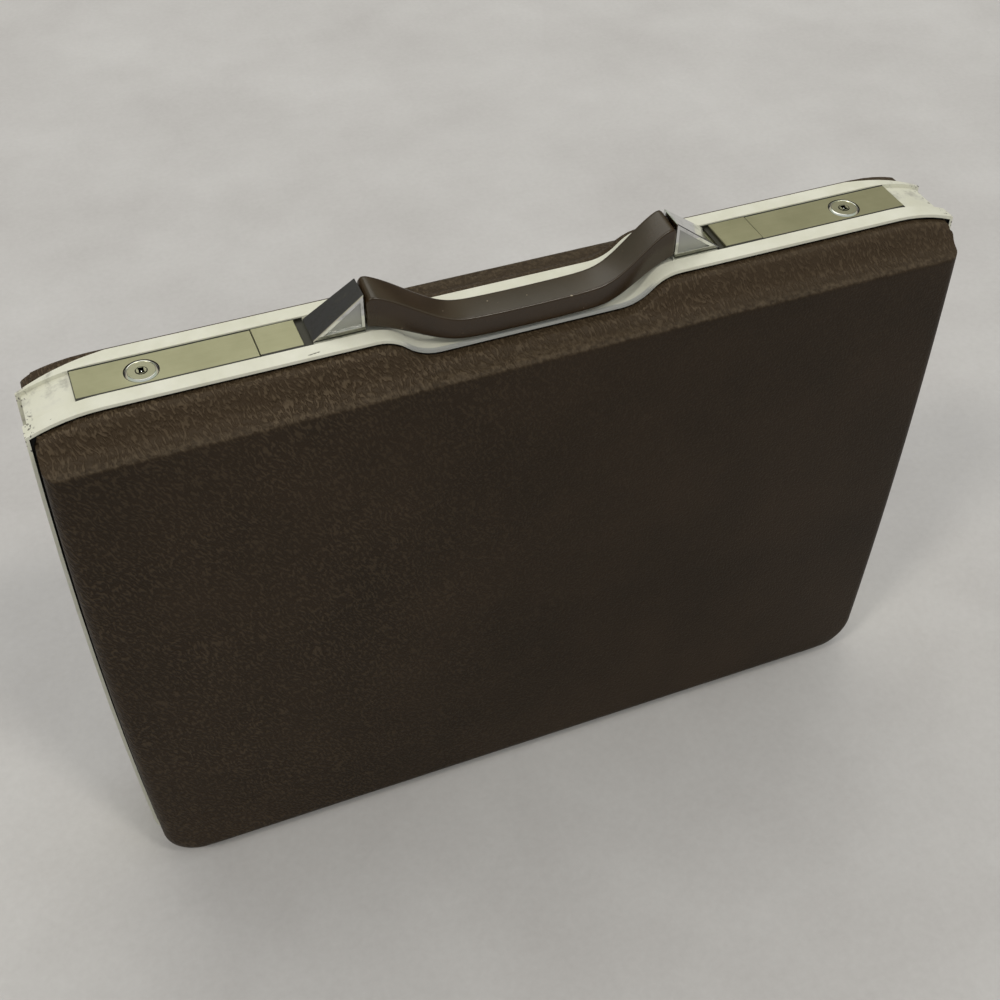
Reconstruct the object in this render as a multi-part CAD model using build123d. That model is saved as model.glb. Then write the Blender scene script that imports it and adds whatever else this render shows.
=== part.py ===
"""Hard-sided attache case: two moulded shells in a metal frame, standing closed on its hinge edge.

Millimetres. X runs along the width, -Y is the front (the lid), +Z is up (the handle side).
The origin is the centre of the footprint, on the surface that the case stands on.
"""
from build123d import *
import os
from math import atan2, degrees, sqrt

os.makedirs("parts", exist_ok=True)

# Overall size, and how the depth is shared out from front to back
case_width = 460.8
case_height = 324.2
lid_shell_depth = 16.6
lid_lip_width = 8.4
channel_width = 22.0
base_lip_width = 8.0
base_shell_depth = 22.0

# Outline of the frame, seen from the front
foot_height = 2.4
bottom_corner_radius = 26.0
side_bow_radius = 3400.0
widest_z = 220.0
top_corner_radius = 85.0
top_corner_run = 35.4
dip_depth = 12.4
dip_flat = 90.0
dip_run = 30.0

# Frame section
lip_thick = 1.6
channel_depth = 2.0
floor_thick = 1.4
flange_thick = 1.6
flange_height = 8.0
flange_setback = 1.6
tongue_thick = 1.2
tongue_reach = 4.5
tongue_gap = 0.4
parting_gap = 0.3
corner_run = 42.4
corner_reach = 7.0
corner_drop = 55.0

# Shells and what lines them
shell_gap = 3.0
shell_thick = 2.5
lid_edge_round = 6.5
base_edge_round = 12.0
crease_drop = 16.0
crease_round = 2.0
crease_bend = 1.3
band_bead_reach = 4.4
band_bead_drop = 0.9
band_bead_slope = 1.0
band_valley_reach = 6.4
band_valley_drop = 6.2
band_valley_slope = 3.3
band_brow_slope = 0.1
band_foot_slope = 0.75
lining_gap = 0.4
lining_thick = 1.2
lining_edge_gap = 8.4

# Handle and its brackets
pivot_y = -5.5
pivot_below_tip = 7.8
pin_radius = 2.5
pin_in_handle = 13.0
grip_half = 36.0
bracket_inner = 76.5
bracket_length = 24.5
bracket_rise = 18.8
bracket_width = 18.0
bracket_top_width = 14.0
bracket_wall = 1.8
bracket_recess = 0.8
bracket_bevel = 0.4
bracket_set_back = 2.0
pin_in_bracket = 6.0
handle_end_gap = 2.0
handle_end_round = 1.2
handle_end_share = 0.86
handle_tilt = 0.45
handle_ease = 0.45
grip_overhang = -1.1
grip_gap = 1.0
rivet_radius = 1.6
rivet_head = 1.0
rivet_in_bracket = 3.0
head_ratio = 1.7

# Locks
button_length = 20.0
button_travel = 4.0
button_thick = 1.5
button_stem_length = 8.0
button_stem_width = 6.0
button_stem_inset = 5.0
button_bevel = 0.3
plate_overrun = 10.0
plate_thick = 1.2
plate_side_gap = 0.4
lock_from_end = 29.4
lock_offset_y = -0.5
lock_face_radius = 7.5
lock_face_proud = 0.5
lock_face_bevel = 0.4
plug_radius = 2.4
keyway_length = 4.0
keyway_width = 1.1
keyway_depth = 3.0
bolt_thick = 1.2
bolt_nose = 2.4
bolt_nose_length = 2.0
bolt_overhang = 1.0
bolt_margin = 1.2
catch_width = 8.0
catch_thick = 1.2
catch_reach = 2.0
catch_border = 2.0
catch_window = 2.5
lock_case_width = 15.5
lock_case_depth = 10.0
lock_case_wall = 1.0
lock_case_gap = 2.0
lug_thick = 1.5
spring_radius = 1.7
spring_wire = 0.6
spring_length = 20.0

# Hinges, stays and feet
hinge_inset = 100.4
hinge_length = 60.0
knuckle_radius = 2.0
leaf_thick = 1.0
leaf_width = 7.0
hinge_pin_radius = 0.9
hinge_rivet_radius = 0.9
hinge_rivet_head = 0.6
hinge_rivet_edge = 2.2
stay_post_y = 2.0
stay_post_rise = 67.6
stay_arm_lean = -3.0
stay_arm_rise = 130.0
stay_width = 7.0
stay_thick = 1.2
stay_inset = 13.0
stay_pin_radius = 1.5
stay_head = 1.0
post_radius = 2.1
post_seat = 0.15
foot_radius = 3.5
foot_bevel = 0.5
foot_inset = 35.4

# Pocket in the lid
pocket_margin = 50.4
pocket_bottom = 40.0
pocket_height = 200.0
pocket_depth = 9.0
pocket_board = 1.2

# Fits
running_fit = 0.05
slide_fit = 0.1
clear = 0.3
through = 1.0

# Places that follow from the sizes above
case_depth = lid_shell_depth + lid_lip_width + channel_width + base_lip_width + base_shell_depth
y_lid_face = -case_depth / 2
y_lid_lip = y_lid_face + lid_shell_depth
y_parting = y_lid_lip + lid_lip_width
y_channel_back = y_parting + channel_width
y_base_lip = y_channel_back + base_lip_width
y_base_face = y_base_lip + base_shell_depth
y_lid_flange = y_lid_lip + flange_setback
y_base_flange = y_base_lip - flange_setback
half_width = case_width / 2
crease_z = case_height - shell_gap - crease_drop
floor_top = case_height - channel_depth
floor_under = floor_top - floor_thick
tongue_inset = channel_depth + floor_thick + tongue_gap
flat_half = half_width - top_corner_run
dip_shoulder = dip_flat / 2 + dip_run
pivot_z = case_height + bracket_rise - pivot_below_tip
hinge_z = foot_height
hinge_x = half_width - hinge_inset
foot_x = half_width - foot_inset
plate_end = flat_half + plate_overrun
lock_x = plate_end - lock_from_end
pocket_width = case_width - 2 * pocket_margin


def side_x(z):
    """Half width of the frame at height z, where its side bows."""
    return half_width - side_bow_radius + sqrt(side_bow_radius ** 2 - (z - widest_z) ** 2)


def lip_z(x):
    """Height of the lips at a distance x from the middle: a dip, a flat and a rounded-off corner."""
    x = abs(x)
    ramp_radius = (dip_run ** 2 + dip_depth ** 2) / (4 * dip_depth)
    low = case_height - dip_depth
    if x <= dip_flat / 2:
        return low
    if x <= dip_flat / 2 + dip_run / 2:
        run = x - dip_flat / 2
        return low + ramp_radius - sqrt(ramp_radius ** 2 - run ** 2)
    if x <= dip_shoulder:
        run = dip_shoulder - x
        return case_height - ramp_radius + sqrt(ramp_radius ** 2 - run ** 2)
    if x <= flat_half:
        return case_height
    return case_height - top_corner_radius + sqrt(top_corner_radius ** 2 - (x - flat_half) ** 2)


def corner_point():
    """Where the rounded-off top meets the side."""
    z = case_height
    for _ in range(6):
        x = side_x(z)
        z = lip_z(x)
    return x, z


def outline_edges(side):
    """One side's edges of the frame's outline, from the bottom up to the middle of the dip."""
    x_low = side_x(foot_height)
    x_top, z_top = corner_point()
    x_arc = (flat_half + x_top) / 2
    low = case_height - dip_depth
    x_ramp = dip_flat / 2 + dip_run / 2
    z_ramp = case_height - dip_depth / 2
    z_mid = (foot_height + z_top) / 2
    return [
        ThreePointArc((side * x_low, foot_height), (side * side_x(z_mid), z_mid), (side * x_top, z_top)),
        ThreePointArc((side * x_top, z_top), (side * x_arc, lip_z(x_arc)), (side * flat_half, case_height)),
        Line((side * flat_half, case_height), (side * dip_shoulder, case_height)),
        TangentArc((side * dip_shoulder, case_height), (side * x_ramp, z_ramp), tangent=(-side, 0)),
        TangentArc((side * dip_flat / 2, low), (side * x_ramp, z_ramp), tangent=(side, 0)),
        Line((side * dip_flat / 2, low), (0, low)),
    ]


def rounded_bottom(sketch, radius):
    """Rounds the two lowest corners."""
    corners = sketch.vertices().sort_by(Axis.Y)[:2]
    return fillet(corners, radius)


x_sole = side_x(foot_height)
frame_outline = rounded_bottom(
    make_face([Line((-x_sole, foot_height), (x_sole, foot_height))] + outline_edges(1) + outline_edges(-1)),
    bottom_corner_radius)


def outline(inset):
    """The frame's outline, moved inwards."""
    if inset == 0:
        return frame_outline
    return offset(frame_outline, -inset, kind=Kind.INTERSECTION)


def shell_outline(inset):
    """Sides and bottom of a shell; its top runs on above the case, for the band to cut."""
    top = case_height + crease_drop
    z_low = foot_height + inset
    z_mid = (z_low + top) / 2
    x_low = side_x(z_low) - inset
    x_mid = side_x(z_mid) - inset
    x_top = side_x(top) - inset
    edges = [
        Line((-x_low, z_low), (x_low, z_low)),
        ThreePointArc((x_low, z_low), (x_mid, z_mid), (x_top, top)),
        Line((x_top, top), (-x_top, top)),
        ThreePointArc((-x_top, top), (-x_mid, z_mid), (-x_low, z_low)),
    ]
    return rounded_bottom(make_face(edges), bottom_corner_radius - inset)


def slab(sketch, y_front, y_back):
    """A front view drawn at real X and Z, extruded between two Y positions."""
    return extrude(Plane.XZ.offset(-y_back) * sketch, amount=y_back - y_front)


def ring(outer, inner, y_front, y_back):
    """A band that follows the frame's outline, between two insets."""
    return slab(outline(outer) - outline(inner), y_front, y_back)


def block(x0, x1, y0, y1, z0, z1):
    """A box between two values on each axis, given in either order."""
    middle = Pos((x0 + x1) / 2, (y0 + y1) / 2, (z0 + z1) / 2)
    return middle * Box(abs(x1 - x0), abs(y1 - y0), abs(z1 - z0))


def rod(axis, centre, radius, start, stop):
    """A cylinder along X, Y or Z; centre gives the other two coordinates in X, Y, Z order."""
    length = stop - start
    middle = (start + stop) / 2
    if axis == "X":
        return Pos(middle, centre[0], centre[1]) * Rot(0, 90, 0) * Cylinder(radius, length)
    if axis == "Y":
        return Pos(centre[0], middle, centre[1]) * Rot(90, 0, 0) * Cylinder(radius, length)
    return Pos(centre[0], centre[1], middle) * Cylinder(radius, length)


def write(name, shape):
    export_step(shape, "parts/" + name + ".step")


def both_sides(name, shape):
    """The part on the right is drawn; the left one is its mirror image."""
    write(name + "_right", shape)
    write(name + "_left", mirror(shape, Plane.YZ))


def band_section(x, y_lip, y_face):
    """What the sloped band leaves free above a shell, at one place along its width.

    From the lip it runs over a bead into a valley, and from there down a slope to the crease.
    """
    out = 1 if y_face > y_lip else -1
    height = lip_z(min(x, half_width)) - shell_gap - crease_z
    start = (y_lip - out * 2 * flange_setback, crease_z + height)
    share = height / crease_drop
    reach = abs(y_face - y_lip) / lid_shell_depth
    brow = (y_lip, crease_z + height)
    bead = (y_lip + out * reach * band_bead_reach, crease_z + height - share * band_bead_drop)
    valley = (y_lip + out * reach * band_valley_reach, crease_z + height - share * band_valley_drop)
    foot = (y_face - out * crease_round, crease_z)
    nose = (y_face + out * running_fit, crease_z - crease_bend * crease_round)
    far = y_face + out * crease_drop / 2
    roof = case_height + 2 * crease_drop
    slopes = [(out, -share * slope / reach)
              for slope in (band_brow_slope, band_bead_slope, band_valley_slope, band_foot_slope)]
    slopes = [Vector(*slope).normalized() for slope in slopes]
    edges = [
        Line(start, brow),
        Spline(brow, bead, valley, foot, tangents=slopes),
        TangentArc(foot, nose, tangent=(out, -band_foot_slope)),
        Line(nose, (far, nose[1])),
        Line((far, nose[1]), (far, roof)),
        Line((far, roof), (start[0], roof)),
        Line((start[0], roof), start),
    ]
    return Pos(x, 0, 0) * (Plane.YZ * make_face(edges))


def band_cutters(y_lip, y_face):
    """The space over a shell's sloped band: it follows the dip and the rounded-off corners."""
    ramp = [dip_flat / 2 + dip_run * i / 6 for i in range(7)]
    corner = [flat_half + (top_corner_run + shell_gap + through) * i / 4 for i in range(5)]
    right = [
        extrude(band_section(0, y_lip, y_face), amount=dip_flat / 2, dir=(1, 0, 0)),
        loft([band_section(x, y_lip, y_face) for x in ramp]),
        extrude(band_section(dip_shoulder, y_lip, y_face), amount=flat_half - dip_shoulder, dir=(1, 0, 0)),
        loft([band_section(x, y_lip, y_face) for x in corner]),
    ]
    return right + [mirror(piece, Plane.YZ) for piece in right]


lid_band = band_cutters(y_lid_lip, y_lid_face)
base_band = band_cutters(y_base_lip, y_base_face)


def pillow(side, skin, y_start, edge_inset=shell_gap):
    """All that lies deeper than skin under a shell's outer face, from y_start to that face.

    The band slopes, so its inner face lies lower by the skin and further in by half of it.
    """
    out = -1 if side == "lid" else 1
    y_face = (y_lid_face if side == "lid" else y_base_face) - out * skin
    edge_round = (lid_edge_round if side == "lid" else base_edge_round) - skin
    body = slab(shell_outline(edge_inset + skin), min(y_start, y_face), max(y_start, y_face))
    rim = [e for e in body.edges()
           if abs(e.center().Y - y_face) < 0.01 and e.center().Z < case_height + crease_drop - through]
    body = fillet(rim, edge_round)
    for cutter in (lid_band if side == "lid" else base_band):
        body -= Pos(0, -out * 0.5 * skin, -skin) * cutter
    return body


def corner_space(side, gap):
    """All that lies further out than a slanting plane that cuts off a rear top corner of the frame."""
    start = Vector(side * (half_width - corner_run), y_base_lip, case_height)
    tip = Vector(side * half_width, y_base_lip - corner_reach, lip_z(half_width))
    low = Vector(side * half_width, y_base_lip, lip_z(half_width) - corner_drop)
    normal = (low - tip).cross(start - tip) * side
    size = 3 * corner_drop
    return Plane(origin=tip, z_dir=normal) * Pos(0, 0, gap + size / 2) * Box(size, size, size)


# Shells. At the rear top corners the base shell reaches forward, where the frame's lip is cut off.
write("lid_shell", pillow("lid", 0, y_lid_flange) - pillow("lid", shell_thick, y_lid_flange + through))
base_shell = pillow("base", 0, y_base_flange) - pillow("base", shell_thick, y_base_flange - through)
rim = ring(shell_gap + slide_fit, shell_gap + shell_thick / 2,
           y_base_flange - corner_reach, y_base_flange + through)
for side in (-1, 1):
    base_shell += rim & corner_space(side, clear)
write("base_shell", base_shell)

# Hinges along the bottom edge
y_leaf_base = y_parting + knuckle_radius + leaf_width
y_leaf_lid = y_parting - leaf_width - knuckle_radius / 2
knuckle_third = hinge_length / 3
rivet_spots = [side * hinge_x + step * knuckle_third for side in (-1, 1) for step in (-1, 1)]


def knuckle(x0, x1):
    """One barrel on the hinge axis, bored for the pin."""
    barrel = rod("X", (y_parting, hinge_z), knuckle_radius, x0, x1)
    return barrel - rod("X", (y_parting, hinge_z), hinge_pin_radius + running_fit, x0 - through, x1 + through)


def hinge_leaves(side_of_case):
    """Both leaves of one half: the base has the outer knuckles, the lid the middle one."""
    leaves = []
    for side in (-1, 1):
        x0 = side * hinge_x - hinge_length / 2
        x1 = side * hinge_x + hinge_length / 2
        bore = rod("X", (y_parting, hinge_z), hinge_pin_radius + running_fit, x0 - through, x1 + through)
        if side_of_case == "base":
            leaf = block(x0, x1, y_parting, y_leaf_base, hinge_z + leaf_thick, hinge_z + 2 * leaf_thick)
            leaf -= block(x0 + knuckle_third - clear, x1 - knuckle_third + clear,
                          y_parting - through, y_parting + knuckle_radius + clear, 0,
                          2 * hinge_z + leaf_thick)
            leaf += knuckle(x0, x0 + knuckle_third - clear)
            leaf += knuckle(x1 - knuckle_third + clear, x1)
        else:
            leaf = block(x0 + knuckle_third, x1 - knuckle_third, y_leaf_lid, y_parting,
                         hinge_z - leaf_thick, hinge_z)
            leaf += block(x0, x1, y_leaf_lid, y_parting - knuckle_radius - clear,
                          hinge_z - leaf_thick, hinge_z)
            leaf += knuckle(x0 + knuckle_third, x1 - knuckle_third)
        leaves.append(leaf - bore)
    return leaves


def hinge_slots(x_extra):
    """Room in the frame's lips for the knuckles to turn."""
    room = knuckle_radius + clear
    return [rod("X", (y_parting, hinge_z), room, side * hinge_x - hinge_length / 2 - x_extra,
                side * hinge_x + hinge_length / 2 + x_extra) for side in (-1, 1)]


# Rivets: a shank through both sheets and a low head on each face
def rivet(axis, centre, radius, low, high, head):
    shank = rod(axis, centre, radius, low, high)
    heads = [rod(axis, centre, head_ratio * radius, low - head, low),
             rod(axis, centre, head_ratio * radius, high, high + head)]
    return shank + heads


y_rivet_base = y_leaf_base - hinge_rivet_edge
y_rivet_lid = y_lid_flange + flange_thick + slide_fit + head_ratio * hinge_rivet_radius


def rivet_holes(y, z_low, z_high):
    return [rod("Z", (x, y), hinge_rivet_radius, z_low, z_high) for x in rivet_spots]


# Lid frame: the front lip, a flange that carries the shell, and a tongue that reaches under the channel
lid_frame = ring(0, lip_thick, y_lid_lip, y_parting)
lid_frame += ring(lip_thick / 2, flange_height, y_lid_flange, y_lid_flange + flange_thick)
lid_frame += ring(tongue_inset, tongue_inset + tongue_thick, y_lid_flange, y_parting + tongue_reach)
for slot in hinge_slots(clear) + rivet_holes(y_rivet_lid, 0, foot_height + lip_thick):
    lid_frame -= slot

# Base frame: the channel floor, the rear lip and a flange that carries the shell
base_frame = ring(channel_depth, channel_depth + floor_thick, y_parting + parting_gap,
                  y_channel_back + flange_thick)
base_frame += ring(0, channel_depth + floor_thick, y_channel_back, y_channel_back + flange_thick)
base_frame += ring(0, lip_thick, y_channel_back, y_base_lip)
base_frame += ring(lip_thick / 2, flange_height, y_base_flange - flange_thick, y_base_flange)
for cutter in (rivet_holes(y_rivet_base, foot_height, foot_height + channel_depth + floor_thick)
               + [corner_space(-1, 0), corner_space(1, 0)]):
    base_frame -= cutter

# Places along one side of the channel, from the bracket outwards
bracket_foot = bracket_inner + bracket_length
button_in = bracket_foot + button_travel
button_out = button_in + button_length
y_plate_front = y_parting + plate_side_gap
y_plate_back = y_channel_back - plate_side_gap
y_mid = (y_plate_front + y_plate_back) / 2
bracket_rivets = [bracket_inner + bracket_length * 0.25, bracket_inner + bracket_length * 0.6]
stem_in = button_in + button_stem_inset
stem_out = stem_in + button_stem_length
stem_front = y_mid - button_stem_width / 2
stem_back = y_mid + button_stem_width / 2
y_lock = y_mid + lock_offset_y
z_plate = floor_top + plate_thick
case_in = button_out + bolt_overhang + lock_case_gap
case_out = flat_half - through
case_front = y_parting + tongue_reach + clear
case_back = case_front + lock_case_width
z_case = floor_under - lock_case_depth
cap_front = y_plate_front + slide_fit
cap_back = y_plate_back - slide_fit

for side in (-1, 1):
    for x in bracket_rivets:
        base_frame -= rod("Z", (side * x, y_mid), rivet_radius, floor_under - through, floor_top + through)
    base_frame -= block(side * (stem_in - button_travel - clear), side * (stem_out + clear),
                        stem_front - slide_fit, stem_back + slide_fit,
                        floor_under - through, floor_top + through)
    base_frame -= rod("Z", (side * lock_x, y_lock), plug_radius + running_fit,
                      floor_under - through, floor_top + through)

write("base_frame", base_frame)
write("lid_frame", lid_frame)
write("hinge_leaf_base", Compound(children=hinge_leaves("base")) - Compound(children=[
    rod("Z", (x, y_rivet_base), hinge_rivet_radius, 0, 2 * foot_height + leaf_thick) for x in rivet_spots]))
write("hinge_leaf_lid", Compound(children=hinge_leaves("lid")) - Compound(children=[
    rod("Z", (x, y_rivet_lid), hinge_rivet_radius, 0, 2 * foot_height) for x in rivet_spots]))
write("hinge_pins", Compound(children=[
    rod("X", (y_parting, hinge_z), hinge_pin_radius, side * hinge_x - hinge_length / 2,
        side * hinge_x + hinge_length / 2) for side in (-1, 1)]))
write("hinge_rivets_base", Compound(children=[
    rivet("Z", (x, y_rivet_base), hinge_rivet_radius, foot_height + leaf_thick,
          foot_height + channel_depth + floor_thick, hinge_rivet_head) for x in rivet_spots]))
write("hinge_rivets_lid", Compound(children=[
    rivet("Z", (x, y_rivet_lid), hinge_rivet_radius, foot_height - leaf_thick,
          foot_height + lip_thick, hinge_rivet_head) for x in rivet_spots]))


# Stud feet on both lips
def stud(x, y):
    body = rod("Z", (x, y), foot_radius, 0, foot_height)
    return chamfer(body.edges().sort_by(Axis.Z)[:1], foot_bevel)


for name, y in (("feet_base", (y_channel_back + y_base_lip) / 2), ("feet_lid", (y_lid_lip + y_parting) / 2)):
    write(name, Compound(children=[stud(side * foot_x, y) for side in (-1, 1)]))

# Handle brackets: chromed wedges riveted into the channel
z_tip = case_height + bracket_rise
y_bracket = y_parting + bracket_set_back


def bracket():
    profile = make_face([
        Line((bracket_inner, floor_top), (bracket_foot, floor_top)),
        Line((bracket_foot, floor_top), (bracket_foot, case_height)),
        Line((bracket_foot, case_height), (bracket_inner, z_tip)),
        Line((bracket_inner, z_tip), (bracket_inner, floor_top)),
    ])
    body = slab(profile, y_bracket, y_bracket + bracket_width)
    rear = make_face(Polyline((bracket_width, case_height), (bracket_top_width, z_tip),
                              (bracket_width + through, z_tip), (bracket_width + through, case_height),
                              (bracket_width, case_height)))
    body -= Pos(bracket_inner - through, y_bracket, 0) * extrude(
        Plane.YZ * rear, amount=bracket_length + 2 * through)
    body = chamfer(body.edges().filter_by(lambda e: e.center().Z > case_height + through), bracket_bevel)
    slope = bracket_rise / bracket_length
    low = case_height + bracket_wall
    tip_x = bracket_foot - (bracket_wall * sqrt(1 + slope ** 2) + bracket_wall) / slope
    inner_x = bracket_inner + bracket_wall
    panel = make_face(Polyline((inner_x, low), (tip_x, low), (inner_x, low + (tip_x - inner_x) * slope),
                               (inner_x, low)))
    body -= slab(panel, y_bracket - through, y_bracket + bracket_recess)
    body -= rod("X", (pivot_y, pivot_z), pin_radius, bracket_inner - through, bracket_inner + pin_in_bracket)
    for x in bracket_rivets:
        body -= rod("Z", (x, y_mid), rivet_radius, floor_top - through, floor_top + rivet_in_bracket)
    return body


both_sides("handle_bracket", bracket())
both_sides("bracket_rivets", Compound(children=[
    rod("Z", (x, y_mid), rivet_radius, floor_under, floor_top + rivet_in_bracket)
    + rod("Z", (x, y_mid), head_ratio * rivet_radius, floor_under - rivet_head, floor_under)
    for x in bracket_rivets]))
both_sides("handle_pin", rod("X", (pivot_y, pivot_z), pin_radius,
                             bracket_inner - handle_end_gap - pin_in_handle, bracket_inner + pin_in_bracket))

# Handle: a bail folded forward over the front lip. Each section is a five-sided slice of constant
# lean that rises from the grip to the pivot. Points are Y and Z: the grip's from its front edge
# in the dip, the end's from the pivot.
grip_section = {"front": (0.0, 1.0), "ridge": (0.4, 11.8), "rear": (16.0, 12.6),
                "under_rear": (15.4, 4.2), "under": (8.0, 0.0)}
end_section = {"front": (-7.5, -8.8), "ridge": (-8.0, 7.0), "rear": (8.0, 9.3),
               "under_rear": (7.5, -7.2), "under": (-0.5, -9.6)}
grip_place = (y_lid_lip + grip_overhang, case_height - dip_depth + grip_gap)
handle_end = bracket_inner - handle_end_gap
handle_shoulder = handle_end - handle_end_round


def rise(x):
    """How far a slice has gone from the grip, 0, to the end, 1."""
    run = min(max((x - grip_half) / (handle_end - grip_half), 0), 1)
    return (1 - handle_ease) * run + handle_ease * run * run * (3 - 2 * run)


def handle_slice(x, share=1.0):
    """The handle's section at x; a share under 1 draws it in towards its middle."""
    amount = rise(x)
    points = []
    for key in grip_section:
        low = [grip_place[i] + grip_section[key][i] for i in (0, 1)]
        high = [(pivot_y, pivot_z)[i] + end_section[key][i] for i in (0, 1)]
        points.append([low[i] + amount * (high[i] - low[i]) for i in (0, 1)])
    middle = [sum(point[i] for point in points) / len(points) for i in (0, 1)]
    top = max(z for y, z in points)
    corners = []
    for point in points:
        y, z = (middle[i] + share * (point[i] - middle[i]) for i in (0, 1))
        corners.append((x - handle_tilt * amount * amount * (top - z), y, z))
    return make_face(Polyline(*corners, corners[0]))


def handle():
    steps = 8
    stations = [grip_half + (handle_shoulder - grip_half) * i / steps for i in range(steps + 1)]
    middle = extrude(handle_slice(0), amount=grip_half, dir=(1, 0, 0))
    arm = loft([handle_slice(x) for x in stations], ruled=True)
    arm += loft([handle_slice(handle_shoulder), handle_slice(handle_end, handle_end_share)], ruled=True)
    half = middle + arm
    half -= rod("X", (pivot_y, pivot_z), pin_radius + running_fit,
                handle_end - pin_in_handle - clear, bracket_inner)
    return half + mirror(half, Plane.YZ)


write("handle_grip", handle())

# Lock plates: anodised sheets let into the channel, round a lock face that stands a little proud
z_face = z_plate + lock_face_proud
plate = block(button_out + clear, plate_end, y_plate_front, y_plate_back, floor_top, z_plate)
plate -= rod("Z", (lock_x, y_lock), lock_face_radius + clear, floor_top - through, z_plate + through)
both_sides("lock_plate", plate)

face = rod("Z", (lock_x, y_lock), lock_face_radius, floor_top, z_face)
face = chamfer(face.edges().sort_by(Axis.Z)[-1:], lock_face_bevel)
face -= rod("Z", (lock_x, y_lock), plug_radius + running_fit, floor_top - through, z_face + through)
both_sides("lock_face", face)

# Key plugs turn in the lock faces and stand on the floor of the lock cases
plug = rod("Z", (lock_x, y_lock), plug_radius, z_case + lock_case_wall + clear, z_face)
plug -= block(lock_x - keyway_width / 2, lock_x + keyway_width / 2, y_lock - keyway_length / 2,
              y_lock + keyway_length / 2, z_face - keyway_depth, z_face + through)
both_sides("key_plug", plug)

# Buttons: a cap in the channel, on a stem that passes through a slot to the bolt
z_button = floor_top + slide_fit
z_bolt = floor_under - slide_fit
cap = block(button_in, button_out, cap_front, cap_back, z_button, z_button + button_thick)
cap = chamfer(cap.edges().group_by(Axis.Z)[-1], button_bevel)
cap += block(stem_in, stem_out, stem_front, stem_back, z_bolt, z_button)
both_sides("latch_button", cap)

# Bolts: a plate under the channel, a nose that hooks the catch and an arm that the spring pulls
z_bolt_under = z_bolt - bolt_thick
catch_in = stem_in
nose_out = catch_in - through
nose_in = nose_out - bolt_nose_length
bolt_out = button_out + bolt_overhang
arm_in = bolt_out - bolt_nose_length
z_arm = z_bolt_under - 2 * spring_radius
bolt = block(nose_in, bolt_out, stem_front - bolt_margin, stem_back + bolt_margin, z_bolt_under, z_bolt)
bolt += block(nose_in, nose_out, stem_front - bolt_margin, stem_front, z_bolt_under - bolt_nose, z_bolt_under)
bolt += block(arm_in, bolt_out, y_mid - spring_radius, y_mid + spring_radius, z_arm, z_bolt_under)
both_sides("latch_bolt", bolt)

# Catches: bent straps on the lid's flange, with a window for the nose
z_catch = z_bolt_under - clear
catch_front = y_lid_flange + flange_thick
catch_back = stem_front + catch_reach
catch_out = catch_in + catch_width
catch = block(catch_in, catch_out, catch_front, catch_back, z_catch - catch_thick, z_catch)
catch += block(catch_in, catch_out, catch_front, catch_front + catch_thick,
               case_height - flange_height, z_catch)
catch -= block(catch_in + catch_border, catch_out - catch_border, catch_back - catch_border - catch_window,
               catch_back - catch_border, z_catch - catch_thick - through, z_catch + through)
both_sides("catch", catch)

# Lock cases: trays under the channel, with a slot for the spring and a lug that anchors it
lug_x = bolt_out + spring_length
lock_case = block(case_in, case_out, case_front, case_back, z_case, floor_under)
lock_case -= block(case_in + lock_case_wall, case_out - lock_case_wall, case_front + lock_case_wall,
                   case_back - lock_case_wall, z_case + lock_case_wall, floor_under + through)
lock_case -= block(case_in - through, case_in + lock_case_wall + through, y_mid - spring_radius - clear,
                   y_mid + spring_radius + clear, z_arm - clear, floor_under + through)
lock_case += block(lug_x, lug_x + lug_thick, case_front + lock_case_wall, case_back - lock_case_wall,
                   z_case + lock_case_wall, floor_under - through)
both_sides("lock_case", lock_case)

# Return springs, closed up: each pulls its bolt back towards the lock
z_spring = z_bolt_under - spring_radius
spring_axis = (y_mid, z_spring)
spring = rod("X", spring_axis, spring_radius, bolt_out, lug_x)
spring -= rod("X", spring_axis, spring_radius - spring_wire, bolt_out + spring_wire, lug_x - spring_wire)
both_sides("latch_spring", spring)

# Lid stays: two links on each side that fold flat. With the hinge and the posts they make a
# parallelogram, so that the lower link turns as far as the lid does.
base_post = (stay_post_y, hinge_z + stay_post_rise)
lid_post = (y_parting + stay_arm_lean, hinge_z + stay_arm_rise)
elbow = (base_post[0] + stay_arm_lean, base_post[1] + stay_arm_rise)
stay_x = side_x(base_post[1]) - stay_inset
upper_x = stay_x - stay_thick - clear
head_radius = head_ratio * stay_pin_radius


def link(x_outer, start, stop, stop_fit):
    """A flat bar with round ends between two pivots, given as Y and Z."""
    x_inner = x_outer - stay_thick
    dy = stop[0] - start[0]
    dz = stop[1] - start[1]
    middle = Pos((x_outer + x_inner) / 2, (start[0] + stop[0]) / 2, (start[1] + stop[1]) / 2)
    bar = middle * Rot(degrees(atan2(-dy, dz)), 0, 0) * Box(stay_thick, stay_width, sqrt(dy ** 2 + dz ** 2))
    for point, fit in ((start, running_fit), (stop, stop_fit)):
        bar += rod("X", point, stay_width / 2, x_inner, x_outer)
        bar -= rod("X", point, stay_pin_radius + fit, x_inner - through, x_outer + through)
    return bar


def post(point, x_outer, x_wall):
    """A post from the frame's side to a link, the pin through the link and its head."""
    seat = x_outer + slide_fit
    head = x_outer - stay_thick - slide_fit
    return (rod("X", point, post_radius, seat, x_wall - post_seat)
            + rod("X", point, stay_pin_radius, head, seat)
            + rod("X", point, head_radius, head - stay_head, head))


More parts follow.
